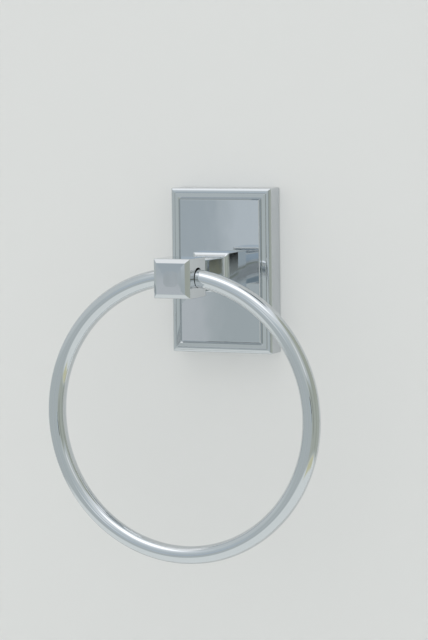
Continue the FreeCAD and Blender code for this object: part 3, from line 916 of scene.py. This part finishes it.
def studio_world(looks):
    """A studio of soft light: even fill with one wide soft light, high in front.

    The camera sees a pale backdrop, and polished metal mirrors a quiet room of cards.
    """
    world = bpy.data.worlds.new("studio")
    bpy.context.scene.world = world
    world.use_nodes = True
    tree = world.node_tree
    tree.nodes.clear()
    direction = add_node(tree, "ShaderNodeTexCoord").outputs["Generated"]
    axes = add_node(tree, "ShaderNodeSeparateXYZ", {"Vector": direction})
    forward = add_node(tree, "ShaderNodeMath", {0: axes.outputs["Y"], 1: -1.0},
                       operation="MULTIPLY")
    turned = add_node(tree, "ShaderNodeMath", {0: axes.outputs["X"], 1: forward},
                      operation="ARCTAN2")
    raised = add_node(tree, "ShaderNodeMath", {0: axes.outputs["Z"]}, operation="ARCSINE")
    azimuth = add_node(tree, "ShaderNodeMath", {0: turned, 1: math.degrees(1)},
                       operation="MULTIPLY")
    elevation = add_node(tree, "ShaderNodeMath", {0: raised, 1: math.degrees(1)},
                         operation="MULTIPLY")

    def band(socket, low, high, soft):
        """1 between two limits, falling softly to 0 at each."""
        rise = add_node(tree, "ShaderNodeMapRange",
                        {"Value": socket, "From Min": low - soft, "From Max": low + soft},
                        interpolation_type="SMOOTHSTEP")
        fall = add_node(tree, "ShaderNodeMapRange",
                        {"Value": socket, "From Min": high - soft, "From Max": high + soft,
                         "To Min": 1.0, "To Max": 0.0}, interpolation_type="SMOOTHSTEP")
        return add_node(tree, "ShaderNodeMath", {0: rise, 1: fall}, operation="MULTIPLY")

    def card(across, upwards, soft):
        """1 within a card's azimuths and elevations, and 0 elsewhere."""
        return add_node(tree, "ShaderNodeMath", {0: band(azimuth, *across, soft),
                                                 1: band(elevation, *upwards, soft)},
                        operation="MULTIPLY")

    share = add_node(tree, "ShaderNodeMapRange", {"Value": elevation, "From Min": -90.0,
                                                  "From Max": 90.0})
    ramp = add_node(tree, "ShaderNodeValToRGB", {"Fac": share})
    stops = ramp.color_ramp.elements
    while len(stops) < len(ROOM_HEIGHTS):
        stops.new(0.5)
    for stop, (height, hex_colour) in zip(stops, ROOM_HEIGHTS):
        stop.position = (height + 90) / 180
        stop.color = opaque(linear(hex_colour))
    mirrored = ramp.outputs["Color"]
    for name, across, upwards, soft, hex_colour in ROOM_CARDS:
        placed = add_node(tree, "ShaderNodeMix",
                          {0: card(across, upwards, soft), 6: mirrored,
                           7: opaque(linear(hex_colour))}, data_type="RGBA", label=name)
        mirrored = placed.outputs[2]
    # Folds and objects in the room: faint upright streaks about two degrees wide
    upright = add_node(tree, "ShaderNodeMapping", {"Vector": direction, "Scale": (1.0, 1.0, 0.2)})
    folds = add_node(tree, "ShaderNodeTexNoise", {"Vector": upright, "Scale": 26.0, "Detail": 2.0})
    uneven = add_node(tree, "ShaderNodeMapRange", {"Value": folds.outputs["Fac"],
                                                   "To Min": (1 - STREAKS) * looks.room,
                                                   "To Max": (1 + STREAKS) * looks.room})
    streaked = add_node(tree, "ShaderNodeVectorMath", {0: mirrored, 1: uneven},
                        operation="MULTIPLY")

    soft_light = card(*SOFT_LIGHT)
    glow = opaque((looks.key,) * 3)
    lit = add_node(tree, "ShaderNodeMix", {0: soft_light, 6: opaque((looks.fill,) * 3), 7: glow},
                   data_type="RGBA")
    reflected = add_node(tree, "ShaderNodeMix", {0: soft_light, 6: streaked, 7: glow},
                         data_type="RGBA")
    path = add_node(tree, "ShaderNodeLightPath")
    backdrop = add_node(tree, "ShaderNodeBackground", {"Color": opaque(looks.wall)})
    room = add_node(tree, "ShaderNodeBackground", {"Color": reflected.outputs[2]})
    # A sharp ray is one that metal or glass sends on, and it is direct if it hit no paint before
    sharp = add_node(tree, "ShaderNodeMath", {0: path.outputs["Is Glossy Ray"],
                                              1: path.outputs["Is Transmission Ray"]},
                     operation="MAXIMUM")
    direct = add_node(tree, "ShaderNodeMath", {0: path.outputs["Diffuse Depth"], 1: 0.5},
                      operation="LESS_THAN")
    mirror = add_node(tree, "ShaderNodeMath", {0: sharp, 1: direct}, operation="MULTIPLY")
    indirect = add_node(tree, "ShaderNodeMath", {0: sharp, 1: mirror}, operation="SUBTRACT")
    # What the metal throws onto the wall is the even fill, a little stronger, not the cards
    thrown = add_node(tree, "ShaderNodeMapRange", {"Value": indirect, "To Min": 1.0,
                                                   "To Max": looks.thrown})
    fill = add_node(tree, "ShaderNodeBackground", {"Color": lit.outputs[2], "Strength": thrown})
    seen = add_node(tree, "ShaderNodeMixShader", {0: path.outputs["Is Camera Ray"], 1: fill,
                                                  2: backdrop})
    both = add_node(tree, "ShaderNodeMixShader", {0: mirror, 1: seen, 2: room})
    add_node(tree, "ShaderNodeOutputWorld", {"Surface": both})


def camera(looks):
    """The camera at the photograph's place."""
    towards = Vector((math.sin(looks.azimuth) * math.cos(looks.elevation),
                      -math.cos(looks.azimuth) * math.cos(looks.elevation),
                      math.sin(looks.elevation)))
    level = Vector((math.cos(looks.azimuth), math.sin(looks.azimuth), 0.0))
    up = towards.cross(level)
    turn, lean = math.cos(looks.roll), math.sin(looks.roll)
    right = turn * level + lean * up
    up = turn * up - lean * level
    aim = Vector((looks.aim_x, 0.0, looks.aim_z))
    lens = bpy.data.cameras.new("camera")
    lens.sensor_width = SENSOR
    lens.lens = looks.focal * SENSOR
    lens.clip_start = 0.05
    lens.clip_end = 50.0
    eye = bpy.data.objects.new("camera", lens)
    bpy.context.scene.collection.objects.link(eye)
    place = Matrix((right, up, towards)).transposed().to_4x4()
    place.translation = aim + towards * looks.distance
    eye.matrix_world = place
    bpy.context.scene.camera = eye


class TOWELRING_OT_stage(bpy.types.Operator):
    """Make the wall, the floor, the lit room and the camera"""
    bl_idname = "towelring.stage"
    bl_label = "Make Stage"

    def execute(self, context):
        looks = context.scene.towel_ring_stage
        plate = context.scene.towel_ring_plate
        overlap = plate.wall / 2
        drop = CAD_BOX[0].z - looks.floor_drop
        # The board stands a hair behind the plate's rim, so that no two faces share a plane
        clearance = 0.2 * MM
        wall = wall_board(plate.width / 2 - overlap, plate.height / 2 - overlap, looks.board_left,
                          looks.board_right, drop, looks.board_height, clearance)
        wall.data.materials.append(paint("matt_wall_paint", looks.wall, WALL_STIPPLE))
        # The floor runs on out of view
        reach = 4.0
        floor = flat_mesh("stage_floor", [(-reach, -reach, drop), (reach, -reach, drop),
                                          (reach, reach, drop), (-reach, reach, drop)],
                          [(0, 1, 2, 3)])
        floor.data.materials.append(paint("matt_floor_paint", looks.floor, FLOOR_STIPPLE))
        # The mirrored room has its own pale floor
        floor.visible_glossy = False
        studio_world(looks)
        camera(looks)
        context.scene.view_settings.view_transform = "Standard"
        return {"FINISHED"}


class TOWELRING_PT_panel(bpy.types.Panel):
    """Sizes, finishes and steps of the towel ring"""
    bl_idname = "TOWELRING_PT_panel"
    bl_label = "Towel Ring"
    bl_space_type = "VIEW_3D"
    bl_region_type = "UI"
    bl_category = "Towel Ring"

    def draw(self, context):
        layout = self.layout
        for operator in OPERATORS:
            layout.operator(operator.bl_idname)
        for name, group in GROUPS.items():
            box = layout.box()
            box.label(text=group.__doc__)
            settings = getattr(context.scene, name)
            for size in group.__annotations__:
                box.prop(settings, size)


GROUPS = {
    "towel_ring_sizes": RingSizes,
    "towel_ring_plate": PlateSizes,
    "towel_ring_post": PostSizes,
    "towel_ring_finish": FinishLooks,
    "towel_ring_stage": StageLooks,
}
OPERATORS = (TOWELRING_OT_ring, TOWELRING_OT_back_plate, TOWELRING_OT_post,
             TOWELRING_OT_fixings, TOWELRING_OT_stage)


def register():
    """Registers the settings, the steps and the panel."""
    for name, group in GROUPS.items():
        bpy.utils.register_class(group)
        setattr(bpy.types.Scene, name, PointerProperty(type=group))
    for cls in (*OPERATORS, TOWELRING_PT_panel):
        bpy.utils.register_class(cls)


def unregister():
    """Takes back what register did."""
    for cls in (TOWELRING_PT_panel, *reversed(OPERATORS)):
        bpy.utils.unregister_class(cls)
    for name, group in GROUPS.items():
        delattr(bpy.types.Scene, name)
        bpy.utils.unregister_class(group)


def main():
    """Makes every piece."""
    register()
    bpy.ops.towelring.ring()
    bpy.ops.towelring.back_plate()
    bpy.ops.towelring.post()
    bpy.ops.towelring.fixings()
    bpy.ops.towelring.stage()


if __name__ == "__main__":
    main()
